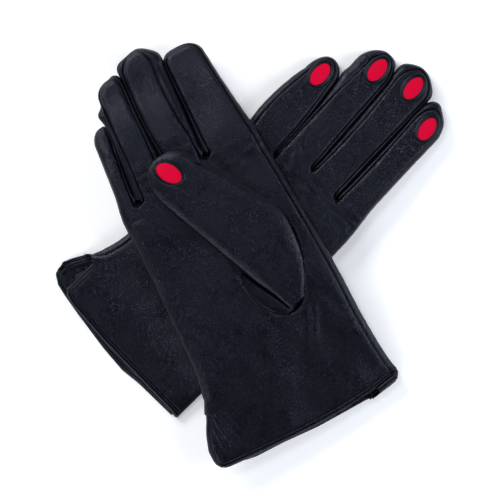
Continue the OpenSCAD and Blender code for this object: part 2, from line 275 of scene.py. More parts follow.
class Finger(Lobe):
    def __init__(self, glove, k):
        self.k = k
        self.name = f"{glove.side}_{DIGITS[k]}"
        self.body = f"{self.name}_finger"
        joint = JOINTS[f"{self.name}_fold"]
        self.set_frame(glove, np.array(joint["axis"][:2]), np.array(joint["pos_m"]))
        shape = FINGER_SHAPES[self.name]
        self.seams, self.strips = (shape[0], shape[2]), (shape[1], shape[3])
        end, self.reach, self.apex, self.square, self.tip_strip = shape[4]
        self.arc_y = end - self.tip_strip - self.reach
        self.end_y = end
        corners = glove.node_points(f"{self.name}_front")
        y = self.own(corners[:, :2])[:, 1]
        tip_z = corners[y > y.max() - 2][:, 2].min()
        base_z = corners[y < 4][:, 2].min()
        self.slope = (base_z - tip_z) / y.max()

    def settle(self):
        """Finds where each side of the finger starts, once all the fingers' frames are known."""
        glove, k = self.glove, self.k
        self.crotch = [None if k == 0 else self.own(glove.crotches[k - 1]),
                       None if k == 3 else self.own(glove.crotches[k])]
        left_y = self.crotch[0 if k > 0 else 1][1]
        right_y = self.crotch[1 if k < 3 else 0][1]
        self.start_y = (left_y, right_y)

    def strip(self, side, y, share=0):
        """How far the side strip stands out from the seam, on side 0 (left) or 1 (right)."""
        width = through(y / self.arc_y, self.strips[side])
        width = mix(width, self.tip_strip, share)
        if self.crotch[side] is None:
            return mix(OUTER_STRIP + 0 * y, width, smoothstep(y, -12, 12))
        return mix(CROTCH_STRIP, width, smoothstep(y - self.crotch[side][1], 0, 8))

    def roundness(self, side, y):
        if self.crotch[side] is None:
            return mix(HAND_ROUND, FINGER_ROUND, smoothstep(y, -20, 20))
        return mix(CROTCH_ROUND, FINGER_ROUND, smoothstep(y - self.crotch[side][1], 0, 22))

    def seam_x(self, side, y):
        """The seam's place across the finger: between the fingers it opens as the end of a slot."""
        y = np.asarray(y, float)
        seam = through(y / self.arc_y, self.seams[side])
        if self.crotch[side] is None:
            v = self.plan(0 * y, y)[..., 1]
            hand = self.own(self.glove.panel_edge(self.glove.top_node, side, v))[..., 0]
            return mix(hand, seam, smoothstep(y, -14, 8))
        opening = rounded(np.maximum(y - self.crotch[side][1], 0), 3.4)
        return mix(self.crotch[side][0], seam, opening)

    def below_crotch(self, side, y):
        return 0 if self.crotch[side] is None else np.maximum(self.crotch[side][1] - y, 0)


class Glove:
    """One glove's pattern frame, outlines and resting heights."""

    def __init__(self, side):
        self.side = side
        self.hand = f"{side}_hand"
        mount = MOUNTS[f"{side}_cuff"]
        self.v = -np.array(mount["axis"][:2])
        self.u = np.array([self.v[1], -self.v[0]])
        self.origin = np.array(mount["pos_m"][:2]) / MM - CUFF_MOUNT_V[side] * self.v
        self.crotches = np.array(CROTCHES[side], float)
        self.top_node = f"{side}_palm_panel" if side == "right" else f"{side}_back_panel"
        self.low_node = f"{side}_back_panel" if side == "right" else f"{side}_palm_panel"
        self.vs = np.arange(-14, 156, 0.5)
        self.us = np.arange(-64, 64, 0.5)
        self.edges = {node: self.outline(node) for node in (self.top_node, self.low_node)}
        self.fingers = [Finger(self, k) for k in range(4)]
        for finger in self.fingers:
            finger.settle()
        self.cad_top = JOINTS[f"{side}_index_fold"]["pos_m"][2] / MM
        self.level = self.cad_top - CAD_THICKNESS + (CAD_THICKNESS - THICKNESS) / 2

    def local(self, xy):
        rel = xy - self.origin
        return np.stack([rel @ self.u, rel @ self.v], -1)

    def world(self, uv, z):
        xy = self.origin + uv[..., 0:1] * self.u + uv[..., 1:2] * self.v
        return np.concatenate([xy, np.asarray(z)[..., None]], -1) * MM

    def node_points(self, node):
        mesh = frame["nodes"][node].data
        points = np.array([vertex.co for vertex in mesh.vertices]) / MM
        return np.concatenate([self.local(points[:, :2]), points[:, 2:]], 1)

    def node_edges(self, node):
        """Both ends of each of the node's edges, in the pattern frame."""
        points = self.node_points(node)[:, :2]
        pairs = np.array([edge.vertices[:] for edge in frame["nodes"][node].data.edges])
        return points[pairs[:, 0]], points[pairs[:, 1]]

    def outline(self, node):
        """The panel's least and greatest u at each v, and its least v at each u."""
        a, b = self.node_edges(node)
        rows = [crossings(a, b, 1, v) for v in self.vs]
        left = np.array([r.min() if len(r) else np.nan for r in rows])
        right = np.array([r.max() if len(r) else np.nan for r in rows])
        columns = [crossings(a, b, 0, u) for u in self.us]
        cuff = np.array([c.min() if len(c) else np.nan for c in columns])
        good, fine = ~np.isnan(left), ~np.isnan(cuff)
        return {"left": (self.vs[good], left[good]), "right": (self.vs[good], right[good]),
                "cuff": (self.us[fine], cuff[fine])}

    def edge_u(self, node, side, v):
        """The panel's side edge; above the roots of the fingers it runs straight on."""
        vs, us = self.edges[node][("left", "right")[side]]
        if side == 0 and node == "left_palm_panel":
            v = v - FLAP_LIFT * (1 - smoothstep(v, 9, 16))
        u = np.interp(np.minimum(v, self.fingers[(0, 3)[side]].base[1] - 7), vs, us)
        if side == 0 and node == "left_palm_panel":
            u = u - FLAP_SWELL * smoothstep(v, 7, 14) * (1 - smoothstep(v, 26, 32))
        if side == 0 and "back" in node:
            u = mix(NOTCH_U + 0 * u, u, smoothstep(v, VENT_TOP - 2.5, VENT_TOP + 0.5))
        return u

    def cuff_v(self, node, u):
        us, vs = np.transpose(CUFF_LINES[node]) if node in CUFF_LINES else self.edges[node]["cuff"]
        return np.interp(u, us, vs)

    def vent_open(self, side, v):
        """1 beside the open vent, 0 where the side is closed."""
        return (1 - smoothstep(v, VENT_TOP - 1, VENT_TOP + 7)) if side == 0 else 0 * np.asarray(v, float)

    def panel_edge(self, node, side, v):
        """The seam along a side of the hand, as pattern points; by the vent it is the panel's free edge."""
        v = np.asarray(v, float)
        strip = OUTER_STRIP * (1 - self.vent_open(side, v))
        u = self.edge_u(node, side, v) + (strip, -strip)[side]
        return np.stack([u, v], -1)

    def thickness(self, uv):
        return mix(CUFF_THICKNESS, THICKNESS, smoothstep(uv[..., 1], -8, 55))

    def rest_z(self, uv):
        """The height that the underside lies at, before any finger droops."""
        u, v = uv[..., 0], uv[..., 1]
        if self.side == "left":
            return self.level * smoothstep(v, 4, 60)
        past = (v - FOLD_PLACE) * math.cos(FOLD_TURN) - u * math.sin(FOLD_TURN)
        return self.level - CUFF_SLOPE * soft_plus(-past, 7)

    def middle_z(self, uv, finger=None, y=None):
        z = self.rest_z(uv) + self.thickness(uv) / 2
        if finger is not None:
            z = z - finger.slope * soft_plus(y, 2.5)
            z = z - 0.8 * smoothstep(y, finger.end_y * 0.5, finger.end_y)
        return z


# ---------------------------------------------------------------- the sheets of a glove

class Sheet:
    """One leather sheet of a glove, top or underneath, as lanes of points: the hand's, then the finger's."""

    def __init__(self, glove, top, columns=COLUMNS, finger_rows=FINGER_ROWS, hand_row=HAND_ROW):
        self.glove, self.top = glove, top
        self.node = glove.top_node if top else glove.low_node
        self.columns = dense_ends(columns, 0.8)
        self.finger_rows, self.hand_row = finger_rows, hand_row
        self.lanes = [self.lane(k) for k in range(4)]
        for a, b in zip(self.lanes, self.lanes[1:]):
            rows = a["hand_rows"] + 1
            mean = (a["z"][:rows, -1] + b["z"][:rows, 0]) / 2
            a["z"][:rows, -1] = mean
            b["z"][:rows, 0] = mean

    def hand_share(self):
        """Shares of the way from the cuff to the fingers, closer together at both ends."""
        near = np.arange(0, 6, self.hand_row / 3)
        far = np.arange(6, PALM_LENGTH - 8, self.hand_row)
        last = np.arange(PALM_LENGTH - 8, PALM_LENGTH + 0.01, self.hand_row / 2)
        return np.unique(np.concatenate([near, far, last, [PALM_LENGTH]])) / PALM_LENGTH

    def lane(self, k):
        """One grid of points, from the cuff to the tip of finger k; its first rows cover the hand."""
        glove, finger, s = self.glove, self.glove.fingers[k], self.columns
        rows = self.hand_share()
        fx, fy = finger.grid(s, dense_ends(self.finger_rows, 0.7))
        finger_uv = finger.plan(fx, fy)
        top_row = finger_uv[0]
        left_u, corner_v = -44, glove.cuff_v(self.node, -44) + 2
        for _ in range(20):
            left_u = glove.panel_edge(self.node, 0, corner_v)[0]
            corner_v = glove.cuff_v(self.node, left_u)
        right_u = glove.panel_edge(self.node, 1, glove.cuff_v(self.node, 44) + 1)[0]

        def boundary(j):
            u = mix(left_u, right_u, LANE_SHARES[j])
            start = np.array([u, glove.cuff_v(self.node, u)])
            end = top_row[0] if j == k else top_row[-1]
            points = start + rows[:, None] * (end - start)
            if j in (0, 4):
                side = int(j == 4)
                x_of = finger.seam_x(side, finger.own(points)[:, 1])
                fitted = finger.plan(x_of, finger.own(points)[:, 1])
                edge = glove.panel_edge(self.node, side, points[:, 1])
                near = smoothstep(points[:, 1], end[1] - 22, end[1] - 8)[:, None]
                points = mix(edge, fitted, near)
                points[-1] = end
            return points

        left, right = boundary(k), boundary(k + 1)
        straight = left[:, None] + s[None, :, None] * (right - left)[:, None]
        bend = top_row - (left[-1] + s[:, None] * (right[-1] - left[-1]))
        first = straight[0]
        cuff = np.stack([first[:, 0], glove.cuff_v(self.node, first[:, 0])], -1) - first
        upward, downward = (rows ** 3)[:, None, None], ((1 - rows) ** 7)[:, None, None]
        hand_uv = straight + upward * bend[None] + downward * cuff[None]
        uv = np.concatenate([hand_uv[:-1], finger_uv])
        own = finger.own(uv)
        return {"uv": uv, "own": own, "hand_rows": len(rows) - 1, "z": self.heights(k, uv, own)}

    def seam_strength(self, side):
        return 0.0 if side == SEAMLESS_SIDE[self.glove.side] else 1.0

    def free_edge(self, uv):
        """Distance to the cuff's edge, or to the panel's free edge beside the vent."""
        u, v = uv[..., 0], uv[..., 1]
        cuff = v - self.glove.cuff_v(self.node, u)
        beside = u - self.glove.edge_u(self.node, 0, v) + 40 * smoothstep(v, VENT_TOP - 3, VENT_TOP + 4)
        return np.minimum(cuff, beside)

    def hem(self, d):
        ridges = sum(0.38 * np.exp(-((d - place) / 0.5) ** 2) for place in HEM_RIDGES)
        return ridges - sum(0.5 * np.exp(-((d - place) / 0.34) ** 2) for place in HEM_GROOVES)

    def side_fields(self, k, side, uv, y, near, share):
        """Distance to a side's seam, the strip's width outside it, its roundness and the seam's strength."""
        glove, finger = self.glove, self.glove.fingers[k]
        strip, radius = finger.strip(side, y, share), finger.roundness(side, y)
        if finger.crotch[side] is not None:
            return np.hypot(near, finger.below_crotch(side, y)), strip, radius, 1.0
        along_hand = np.abs(uv[..., 0] - glove.panel_edge(self.node, side, uv[..., 1])[..., 0])
        d = mix(along_hand, near, smoothstep(y, -22, -8))
        opening = glove.vent_open(side, uv[..., 1])
        return (d, mix(strip, FREE_EDGE, opening), mix(radius, 3.2, opening),
                self.seam_strength(side) * (1 - opening))

    def heights(self, k, uv, own):
        """The glove's half thickness, rounded at its edges, less the seams, plus the leather's unevenness."""
        glove, finger = self.glove, self.glove.fingers[k]
        x, y = own[..., 0], own[..., 1]
        near_left, near_right, share = finger.fields(x, y)
        profile = np.ones(x.shape)
        seam = np.zeros(x.shape)
        for side, near in ((0, near_left), (1, near_right)):
            d, strip, radius, strength = self.side_fields(k, side, uv, y, near, share)
            profile = profile * rounded(d + strip, radius)
            seam = np.maximum(seam, valley(d) * mix(strength, TIP_SEAM[glove.side], share * (y > 0)))
        free = self.free_edge(uv)
        profile = np.minimum(profile, rounded(free + FREE_EDGE, 3.0))
        half = glove.thickness(uv) / 2 * profile - seam
        half = half + self.hem(free) + self.unevenness(uv, y) * smoothstep(free, 0, 8)
        if self.top and glove.thumb.on_top:
            inside, thumb_y = thumb_hole(glove.thumb, uv)
            sunk = HOLE_DEPTH * (1 - smoothstep(thumb_y, 16, 46)) * smoothstep(inside, -0.3, 1.8)
            rim = 0.55 * np.exp(-((inside + 0.9) / 0.6) ** 2) * (1 - smoothstep(thumb_y, 36, 52))
            half = half - sunk + rim - valley(inside, 0.6, 0.7) * (1 - smoothstep(thumb_y, 40, 52))
        sign = 1 if self.top else -1
        return glove.middle_z(uv, finger, y) + sign * half

    def unevenness(self, uv, y):
        """Soft swells, the creases at the roots of the fingers and the wrinkles that gather by the vent."""
        seed = (1 if self.top else 5) + (0 if self.glove.side == "right" else 11)
        if not self.top:
            return 0.25 * ripple(uv, 26, seed)
        swell = 0.85 * ripple(uv, 28, seed) + 0.28 * ripple(uv * [1, 0.6], 11, seed + 1)
        stretched = uv @ np.array([[0.9, -0.35], [0.35, 0.9]]) * [1, 0.3]
        drag = np.clip(ripple(stretched, 5.5, seed + 2), -0.2, 1) * smoothstep(uv[..., 1], 20, 60)
        drag = 0.3 * drag * (0.35 + np.clip(ripple(uv, 34, seed + 3), 0, 1))
        u, v = uv[..., 0], uv[..., 1]
        root = np.exp(-((y + 6) / 9) ** 2)
        creases = 0.26 * root * ripple(uv * [0.35, 1.0], 3.4, seed + 4)
        if self.glove.side == "left":
            return swell + drag + creases
        near_vent = np.exp(-(((u + 47) / 8) ** 2 + ((v - 12) / 12) ** 2))
        angle = np.arctan2(v - 46, u + 50)
        fan = 0.5 * near_vent * np.abs(np.sin(angle * 27 + 0.5 * ripple(uv, 18, seed + 5))) ** 4
        along, beside = self.along_fold(uv)
        fold = 0.75 * np.exp(-(beside / 2.4) ** 2) - 0.5 * np.exp(-((beside + 5) / 3.5) ** 2)
        return swell + drag + creases + fan + fold * np.exp(-((along - 0.5) / 0.42) ** 4)

    def along_fold(self, uv):
        """Place along the soft fold below the thumb, from 0 to 1, and distance to its index side."""
        start, end = np.array(CUFF_FOLD)
        run = end - start
        length = np.linalg.norm(run)
        rel = uv - start
        return rel @ run / length ** 2, (rel[..., 1] * run[0] - rel[..., 0] * run[1]) / length


# ---------------------------------------------------------------- meshes

def grid_normals(points):
    """Unit normals of a grid of points, upwards for a grid whose columns run to +u and rows to +v."""
    down = np.gradient(points, axis=0)
    across = np.gradient(points, axis=1)
    normals = np.cross(across, down)
    length = np.linalg.norm(normals, axis=-1, keepdims=True)
    fallback = np.array([0, 0, 1.0])
    return np.where(length > 1e-16, normals / np.maximum(length, 1e-16), fallback)


def add_piece(name, points, faces, pattern, material):
    """A smooth mesh of world points that carries its pattern places for the materials."""
    mesh = bpy.data.meshes.new(name)
    mesh.from_pydata(points.tolist(), [], faces.tolist())
    mesh.polygons.foreach_set("use_smooth", [True] * len(mesh.polygons))
    rest = mesh.attributes.new("pattern", "FLOAT_VECTOR", "POINT")
    rest.data.foreach_set("vector", pattern.astype(np.float32).ravel())
    piece = bpy.data.objects.new(name, mesh)
    bpy.context.scene.collection.objects.link(piece)
    piece.data.materials.append(material)
    return piece


def shell(name, grids, material, thickness=LEATHER):
    """Closed sheets of leather. Each grid has outer points, normals, pattern places and quads to keep."""
    outer, normals, pattern, quads = [], [], [], []
    offset = 0
    for grid in grids:
        rows, columns = grid["points"].shape[:2]
        index = np.arange(rows * columns).reshape(rows, columns) + offset
        cells = np.stack([index[:-1, :-1], index[:-1, 1:], index[1:, 1:], index[1:, :-1]], -1)
        keep = grid.get("keep")
        quads.append(cells.reshape(-1, 4) if keep is None else cells[keep])
        outer.append(grid["points"].reshape(-1, 3))
        normals.append(grid["normals"].reshape(-1, 3))
        pattern.append(grid["uv"].reshape(-1, 2))
        offset += rows * columns
    used, quads = np.unique(np.concatenate(quads), return_inverse=True)
    quads = quads.reshape(-1, 4)
    outer, normals, pattern = (np.concatenate(part)[used] for part in (outer, normals, pattern))
    inner = outer - normals * thickness * MM
    count = len(outer)
    edges = np.concatenate([quads[:, [i, (i + 1) % 4]] for i in range(4)])
    keys = edges[:, 0] * count + edges[:, 1]
    backs = edges[:, 1] * count + edges[:, 0]
    rim = edges[~np.isin(keys, backs)]
    rim_quads = np.stack([rim[:, 1], rim[:, 0], rim[:, 0] + count, rim[:, 1] + count], -1)
    faces = np.concatenate([quads, quads[:, ::-1] + count, rim_quads])
    flat = np.concatenate([pattern, np.zeros((count, 1))], 1)
    places = np.concatenate([flat, flat + [0, 0, 9]])
    piece = add_piece(name, np.concatenate([outer, inner]), faces, places, material)
    piece.data.normals_split_custom_set_from_vertices(np.concatenate([normals, -normals]).tolist())
    return piece


def bend_with(piece, finger):
    """Bakes the piece's placement into its mesh; the points worked out at the finger's hinge are not used, and the
    piece is not bent.
    """
    glove = finger.glove
    for y in (-BLEND_BEFORE, BLEND_AFTER):
        point = glove.world(finger.plan(np.array(0.0), np.array(float(y))), np.array(finger.hinge[2] / MM))
    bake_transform(piece)


# ---------------------------------------------------------------- materials

def new_material(name, colour, roughness):
    material = bpy.data.materials.new(name)
    material.use_nodes = True
    nodes, links = material.node_tree.nodes, material.node_tree.links
    shader = nodes["Principled BSDF"]
    shader.inputs["Base Color"].default_value = (*colour, 1)
    shader.inputs["Roughness"].default_value = roughness
    return material, nodes, links, shader


def add_node(nodes, kind, **settings):
    """A new node. A setting is an input's name, with _ for a space, or else a property of the node."""
    node = nodes.new(kind)
    for key, value in settings.items():
        socket = key.replace("_", " ")
        if socket in node.inputs:
            node.inputs[socket].default_value = value
        else:
            setattr(node, key, value)
    return node


def add_texture(nodes, links, kind, **settings):
    """A texture that follows the pattern places, so that it bends with the piece."""
    rest = add_node(nodes, "ShaderNodeAttribute", attribute_name="pattern")
    texture = add_node(nodes, kind, **settings)
    links.new(rest.outputs["Vector"], texture.inputs["Vector"])
    return texture


def blend_colours(nodes, links, shader, texture, first, second):
    tone = add_node(nodes, "ShaderNodeMix", data_type="RGBA", A=(*first, 1), B=(*second, 1))
    links.new(texture.outputs["Fac"], tone.inputs["Factor"])
    links.new(tone.outputs["Result"], shader.inputs["Base Color"])


def add_relief(nodes, links, shader, height, strength, distance):
    relief = add_node(nodes, "ShaderNodeBump", Strength=strength, Distance=distance)
    links.new(height, relief.inputs["Height"])
    links.new(relief.outputs["Normal"], shader.inputs["Normal"])


def leather_material(name, colour, tint, grain=0.9, roughness=0.3, bump=0.36, gloss_level=0.3):
    """Leather with a fine grain and soft cloudy changes in tone and gloss."""
    material, nodes, links, shader = new_material(name, colour, roughness)
    cells = add_texture(nodes, links, "ShaderNodeTexVoronoi", Scale=1 / grain, Randomness=1.0,
                        feature="DISTANCE_TO_EDGE")
    pores = add_texture(nodes, links, "ShaderNodeTexNoise", Scale=1.5, Detail=3.0, Roughness=0.55)
    cloud = add_texture(nodes, links, "ShaderNodeTexNoise", Scale=0.045, Detail=3.0, Roughness=0.55)
    blend_colours(nodes, links, shader, cloud, colour, tint)
    gloss = add_node(nodes, "ShaderNodeMapRange", From_Min=0.3, From_Max=0.7,
                     To_Min=roughness + 0.1, To_Max=roughness - 0.08)
    links.new(cloud.outputs["Fac"], gloss.inputs["Value"])
    links.new(gloss.outputs["Result"], shader.inputs["Roughness"])
    edge = add_node(nodes, "ShaderNodeMapRange", From_Max=0.32)
    links.new(cells.outputs["Distance"], edge.inputs["Value"])
    height = add_node(nodes, "ShaderNodeMix", data_type="FLOAT", Factor=0.5)
    links.new(edge.outputs["Result"], height.inputs["A"])
    links.new(pores.outputs["Fac"], height.inputs["B"])
    add_relief(nodes, links, shader, height.outputs["Result"], bump, 0.0006)
    shader.inputs["Specular IOR Level"].default_value = gloss_level
    shader.inputs["Specular Tint"].default_value = (0.72, 0.78, 1, 1)
    return material


def knit_material():
    material, nodes, links, shader = new_material("knit lining", (0.012, 0.012, 0.015), 0.9)
    wales = add_texture(nodes, links, "ShaderNodeTexWave", Scale=1.1, Distortion=1.5, bands_direction="X")
    fuzz = add_texture(nodes, links, "ShaderNodeTexNoise", Scale=3.0, Detail=5.0)
    blend_colours(nodes, links, shader, fuzz, (0.008, 0.008, 0.01), (0.025, 0.025, 0.03))
    add_relief(nodes, links, shader, wales.outputs["Fac"], 0.5, 0.0005)
    shader.inputs["Sheen Weight"].default_value = 0.4
    return material


LEATHER_TOP = leather_material("black glove leather", (0.0010, 0.0010, 0.0028), (0.0036, 0.0027, 0.0056))
# The strips' leather is coloured a little darker than the top leather as painted shade. This darkens the side
# strips in the gaps between the fingers, the gussets along and under the thumb's edge, and the hem turned in
# inside the cuff.
SHADE_DARKENED_STRIP_LEATHER = leather_material("black strip leather", (0.0010, 0.0010, 0.0020), (0.0026, 0.0026, 0.0042),
                                 roughness=0.29, bump=0.3)
LEATHER_WELT = leather_material("black welt leather", (0.0008, 0.0008, 0.0016), (0.002, 0.002, 0.0034),
                                roughness=0.34, bump=0.2)
NAIL = leather_material("red nail leather", (0.60, 0.0004, 0.026), (0.68, 0.0006, 0.032),
                        grain=0.5, roughness=0.6, bump=0.06, gloss_level=0.08)
KNIT = knit_material()


# ---------------------------------------------------------------- building a glove

def world_grid(glove, uv, z, up=True):
    """A grid of world points with its normals; the columns are turned round for a face that looks down."""
    points = glove.world(uv, z)
    normals = grid_normals(points)
    if not up:
        points, normals, uv = points[:, ::-1], -normals[:, ::-1], uv[:, ::-1]
    return {"points": points, "normals": normals, "uv": uv}


def whole_quads(chosen):
    """The quads of a grid that have all four points chosen."""
    return chosen[:-1, :-1] & chosen[:-1, 1:] & chosen[1:, :-1] & chosen[1:, 1:]


def finger_faces(finger, uv, row_from):
    """Which quads of a grid belong to the finger and not to the hand."""
    y = finger.own(uv)[..., 1]
    return whole_quads((y > -BLEND_BEFORE) & (np.arange(len(y))[:, None] >= row_from))


def build_sheet(glove, sheet):
    """One sheet: a piece for each finger, and one for the hand made of the four lanes."""
    top = sheet.top
    face = "front" if top == (glove.side == "right") else "back"
    hand_grids = []
    for finger, lane in zip(glove.fingers, sheet.lanes):
        lane["grid"] = world_grid(glove, lane["uv"], lane["z"], top)
    match_lanes(sheet)
    for finger, lane in zip(glove.fingers, sheet.lanes):
        far = finger_faces(finger, lane["uv"], lane["hand_rows"] - 14)
        if not top:
            far = far[:, ::-1]
        piece = shell(f"{finger.name}_{face}_leather", [{**lane["grid"], "keep": far}], LEATHER_TOP)
        bend_with(piece, finger)
        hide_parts(f"{finger.name}_{face}")
        hand_grids.append({**lane["grid"], "keep": ~far})
    name = f"{glove.side}_{'palm' if face == 'front' else 'back'}"
    hand = shell(f"{name}_leather", hand_grids, LEATHER_TOP)
    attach(hand, glove.hand)
    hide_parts(f"{name}_panel")


def match_lanes(sheet):
    """Gives the shared columns of neighbouring lanes the same points and normals, below the crotch."""
    first, last = (-1, 0) if sheet.top else (0, -1)
    for a, b in zip(sheet.lanes, sheet.lanes[1:]):
        rows = a["hand_rows"] + 1
        for key in ("points", "normals"):
            mean = a["grid"][key][:rows, first] + b["grid"][key][:rows, last]
            mean = mean / 2 if key == "points" else mean / np.linalg.norm(mean, axis=-1, keepdims=True)
            a["grid"][key][:rows, first] = mean
            b["grid"][key][:rows, last] = mean


def finger_chain(glove, sheets, k):
    """The seam round a finger, from the hand up one side and down the other, with what its strip needs."""
    finger = glove.fingers[k]
    upper, lower = sheets[True].lanes[k], sheets[False].lanes[k]
    first = upper["hand_rows"]
    low_first = lower["hand_rows"]

    def part(rows, columns, side):
        uv = upper["uv"][first:][rows, columns]
        top, low = upper["z"][first:][rows, columns], lower["z"][low_first:][rows, columns]
        return uv, top, low, side + 0 * uv[..., 0]

    def hand_part(side):
        column = (0, -1)[side]
        uv, z = upper["uv"][:first, column], upper["z"][:first, column]
        low_v, low_z = lower["uv"][:low_first, column][:, 1], lower["z"][:low_first, column]
        chosen = uv[:, 1] > (VENT_TOP - 1 if side == 0 else -99)
        uv, z = uv[chosen], z[chosen]
        low = np.interp(uv[:, 1], low_v, low_z)
        return uv, z, low, side + 0 * low

    parts = [part(slice(None), 0, 0), part(-1, slice(1, -1), 2), part(slice(None, None, -1), -1, 1)]
    if k == 0:
        parts.insert(0, hand_part(0))
    if k == 3:
        parts.append([item[::-1] for item in hand_part(1)])
    uv, top, low, side = (np.concatenate(items) for items in zip(*parts))
    x, y = finger.own(uv).T
    share = finger.fields(x, np.maximum(y, 0))[2] * (y > finger.arc_y)
    x_side = np.where(side == 2, (x > x[np.argmax(y)]).astype(float), side).astype(int)
    widths = [finger.strip(s, y, share) for s in (0, 1)]
    radii = [finger.roundness(s, y) for s in (0, 1)]
    strengths = [mix(sheets[True].seam_strength(s) if finger.crotch[s] is None else 1.0,
                     TIP_SEAM[glove.side], share)
                 for s in (0, 1)]
    pick = [np.where(x_side == 0, a, b) for a, b in (widths, radii, strengths)]
    opening = glove.vent_open(0, uv[:, 1]) * (side == 0) * (k == 0)
    return {"uv": uv, "top": top, "low": low, "side": x_side, "width": mix(pick[0], FREE_EDGE, opening),
            "radius": mix(pick[1], 3.2, opening), "strength": pick[2] * (1 - opening), "y": y,
            "half": glove.thickness(uv) / 2}


def make_room(chains):
    """Between neighbouring fingers, widens or narrows the strips so that they nearly meet."""
    wanted = [chain["width"].copy() for chain in chains]
    for k, chain in enumerate(chains):
        for other, side in ((k - 1, 0), (k + 1, 1)):
            if not 0 <= other < 4:
                continue
            facing = chains[other]["side"] == 1 - side
            gaps = np.linalg.norm(chain["uv"][:, None] - chains[other]["uv"][None, facing], axis=-1)
            gap, theirs = gaps.min(1), wanted[other][facing][gaps.argmin(1)]
            room = np.maximum((gap - NEIGHBOUR_GAP) * wanted[k] / (wanted[k] + theirs), 0.3)
            filled = mix(room, np.minimum(chain["width"], room), smoothstep(gap, FILLED_GAP, FILLED_GAP + 3))
            chain["width"] = np.where(chain["side"] == side, filled, chain["width"])
        for _ in range(14):
            chain["width"][1:-1] = (chain["width"][:-2] + chain["width"][1:-1] + chain["width"][2:]) / 3


def ribbon(glove, chain):
    """The strip of leather along a chain, from the lower sheet's seam out and up to the upper sheet's."""
    uv = chain["uv"]
    tangent = np.gradient(uv, axis=0)
    tangent /= np.maximum(np.linalg.norm(tangent, axis=1, keepdims=True), 1e-9)
    out = np.stack([-tangent[:, 1], tangent[:, 0]], -1)
    step = np.linspace(0, 1, STRIP_HALF)[None, :]
    width, radius = chain["width"][:, None], chain["radius"][:, None]
    half = chain["half"][:, None]
    strength = chain["strength"][:, None]
    d = width * (1 - np.sin(step * math.pi / 2))
    away = width - d
    rise = half * (rounded(d, radius) - rounded(width, radius))
    rise = rise + strength * SEAM_DEPTH * (1 - np.exp(-away / SEAM_WIDTH))
    rise = rise + strength * SEAM_RIDGE * np.exp(-((away - 0.75) / 0.45) ** 2) * np.minimum(width / 1.5, 1)
    top, low = chain["top"][:, None] + rise, chain["low"][:, None] - rise
    middle = (top[:, -1:] + low[:, -1:]) / 2
    top = top + (middle - top[:, -1:]) * step ** 2
    low = low + (middle - low[:, -1:]) * step ** 2
    places = uv[:, None, :] + out[:, None, :] * away[..., None]
    z = np.concatenate([low, top[:, -2::-1]], 1)
    places = np.concatenate([places, places[:, -2::-1]], 1)
    swell = np.sin(math.pi * np.linspace(0, 1, z.shape[1])) ** 2
    crinkle = 0.09 * ripple(places + z[..., None], 3.1, 21) * swell
    return world_grid(glove, places + out[:, None, :] * crinkle[..., None], z)


def build_quirk(glove, sheets, k):
    """The small folded gusset at the bottom of the slot between finger k and the next one."""
    lane = sheets[True].lanes[k]
    after = sheets[True].lanes[k + 1]
    root = lane["uv"][lane["hand_rows"], -1]
    ahead = (glove.fingers[k].along + glove.fingers[k + 1].along) / 2
    aside = np.array([ahead[1], -ahead[0]])
    along, across = np.meshgrid(np.linspace(*QUIRK_REACH, 13), np.linspace(-1, 1, 11), indexing="ij")
    width = QUIRK_WIDTH * (0.45 + 0.55 * smoothstep(along, 0, QUIRK_REACH[1]))
    uv = root + along[..., None] * ahead + (across * width)[..., None] * aside
    top = (lane["z"][lane["hand_rows"], -1] + after["z"][after["hand_rows"], 0]) / 2
    z = top - QUIRK_DEPTH + 1.2 * across ** 2 - 0.12 * np.maximum(along, 0)
    return world_grid(glove, uv, z)


def build_strips(glove, sheets):
    chains = [finger_chain(glove, sheets, k) for k in range(4)]
    make_room(chains)
    hand_grids = [build_quirk(glove, sheets, k) for k in range(3)]
    for finger, chain in zip(glove.fingers, chains):
        grid = ribbon(glove, chain)
        far = chain["y"] > -BLEND_BEFORE
        far = np.repeat((far[:-1] & far[1:])[:, None], grid["points"].shape[1] - 1, 1)
        piece = shell(f"{finger.name}_fourchettes_leather", [{**grid, "keep": far}], SHADE_DARKENED_STRIP_LEATHER)
        bend_with(piece, finger)
        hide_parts(f"{finger.name}_fourchettes")
        hand_grids.append({**grid, "keep": ~far})
    strips = shell(f"{glove.side}_side_strips_leather", hand_grids, SHADE_DARKENED_STRIP_LEATHER)
    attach(strips, glove.hand)
    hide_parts(f"{glove.side}_side_strips")


# ---------------------------------------------------------------- thumbs

